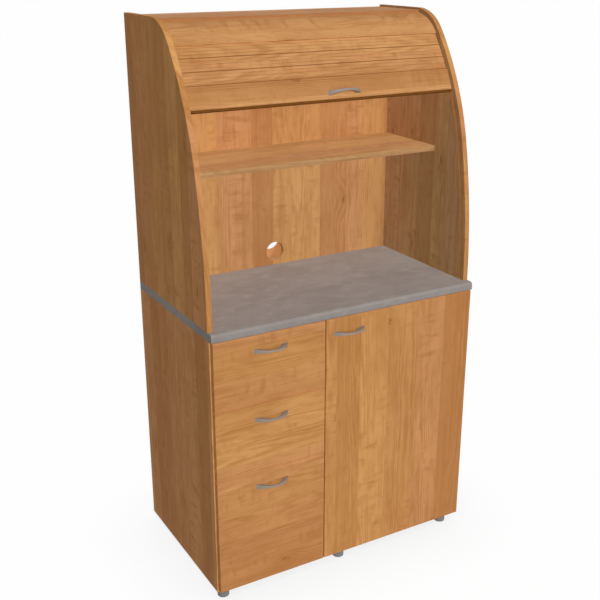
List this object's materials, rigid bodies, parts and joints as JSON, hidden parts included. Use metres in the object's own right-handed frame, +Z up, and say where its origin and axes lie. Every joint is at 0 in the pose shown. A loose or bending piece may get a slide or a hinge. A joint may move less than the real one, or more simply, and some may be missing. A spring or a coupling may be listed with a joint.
{
  "type": "kitchenette unit",
  "caption": "Free-standing kitchenette cabinet: base with drawers, hinged door and stone-look worktop, below a curved-sided hutch with shelf and roll-front shutter.",
  "frame": {"origin": "centre of the footprint on the floor", "axes": "+Z up, front with drawers and door faces -Y, +X to the right seen from the front"},
  "size_m": [1, 0.6194, 1.8607],
  "materials": {
    "laminate": "alder-look laminated board, satin",
    "worktop": "grey-brown stone-look laminate, matt",
    "backboard": "thin fibreboard, matt",
    "drawer_board": "pale coated board, satin",
    "runner_steel": "pale powder-coated steel",
    "hinge_steel": "nickel-plated steel",
    "pin_steel": "plain steel",
    "handle_metal": "satin metal",
    "foot_plastic": "grey moulded plastic",
    "track_plastic": "brown extruded plastic",
    "seal": "dark brown soft strip",
    "nylon": "natural nylon"
  },
  "bodies": {
    "carcass": {"left_side_panel": "laminate", "right_side_panel": "laminate", "partition_panel": "laminate", "bottom_panel": "laminate", "base_back_panel": "backboard", "top_rails": "laminate", "worktop": "worktop", "feet": "foot_plastic", "hutch_left_side": "laminate", "hutch_right_side": "laminate", "top_board": "laminate", "hutch_inner_back": "laminate", "hutch_outer_back": "backboard", "hutch_shelf": "laminate", "shelf_pins": "pin_steel", "corner_fascia": "laminate", "guide_tracks": "track_plastic", "cabinet_runners": "runner_steel", "hinge_arms": "hinge_steel", "cupboard_shelf": "laminate", "cupboard_shelf_pins": "pin_steel", "shutter_tail": "laminate"},
    "drawer_top": {"drawer_top_front": "laminate", "drawer_top_box": "drawer_board", "drawer_top_base": "drawer_board", "drawer_top_runners": "runner_steel", "drawer_top_handle": "handle_metal"},
    "drawer_middle": {"drawer_middle_front": "laminate", "drawer_middle_box": "drawer_board", "drawer_middle_base": "drawer_board", "drawer_middle_runners": "runner_steel", "drawer_middle_handle": "handle_metal"},
    "drawer_bottom": {"drawer_bottom_front": "laminate", "drawer_bottom_box": "drawer_board", "drawer_bottom_base": "drawer_board", "drawer_bottom_runners": "runner_steel", "drawer_bottom_handle": "handle_metal"},
    "door_links": {"hinge_links": "hinge_steel"},
    "door": {"door_panel": "laminate", "door_handle": "handle_metal", "hinge_cups": "hinge_steel"},
    "shutter": {"shutter_rail": "laminate", "shutter_seal": "seal", "shutter_handle": "handle_metal", "shutter_guides": "nylon", "shutter_slats": "laminate"}
  },
  "joints": [
    {"name": "drawer_top_slide", "type": "slide", "parent": "carcass", "child": "drawer_top", "axis": [0, -1, 0], "range_m": [0, 0.38]},
    {"name": "drawer_middle_slide", "type": "slide", "parent": "carcass", "child": "drawer_middle", "axis": [0, -1, 0], "range_m": [0, 0.38]},
    {"name": "drawer_bottom_slide", "type": "slide", "parent": "carcass", "child": "drawer_bottom", "axis": [0, -1, 0], "range_m": [0, 0.38]},
    {"name": "door_swing", "type": "hinge", "parent": "door_links", "child": "door", "pos_m": [0.4875, -0.26825, 0.145], "axis": [0, 0, 1], "range_deg": [0, 116.8]},
    {"name": "door_link_turn", "type": "hinge", "parent": "carcass", "child": "door_links", "pos_m": [0.452, -0.25625, 0.145], "axis": [0, 0, 1], "range_deg": [-21.9, 0]},
    {"name": "shutter_travel", "type": "hinge", "parent": "carcass", "child": "shutter", "pos_m": [0, 1.31175, 1.0527], "axis": [1, 0, 0], "range_deg": [0, 24.12], "deforming": ["shutter_tail"]}
  ],
  "couplings": [
    {"joint": "door_link_turn", "follows": "door_swing", "ratio": -0.187}
  ]
}
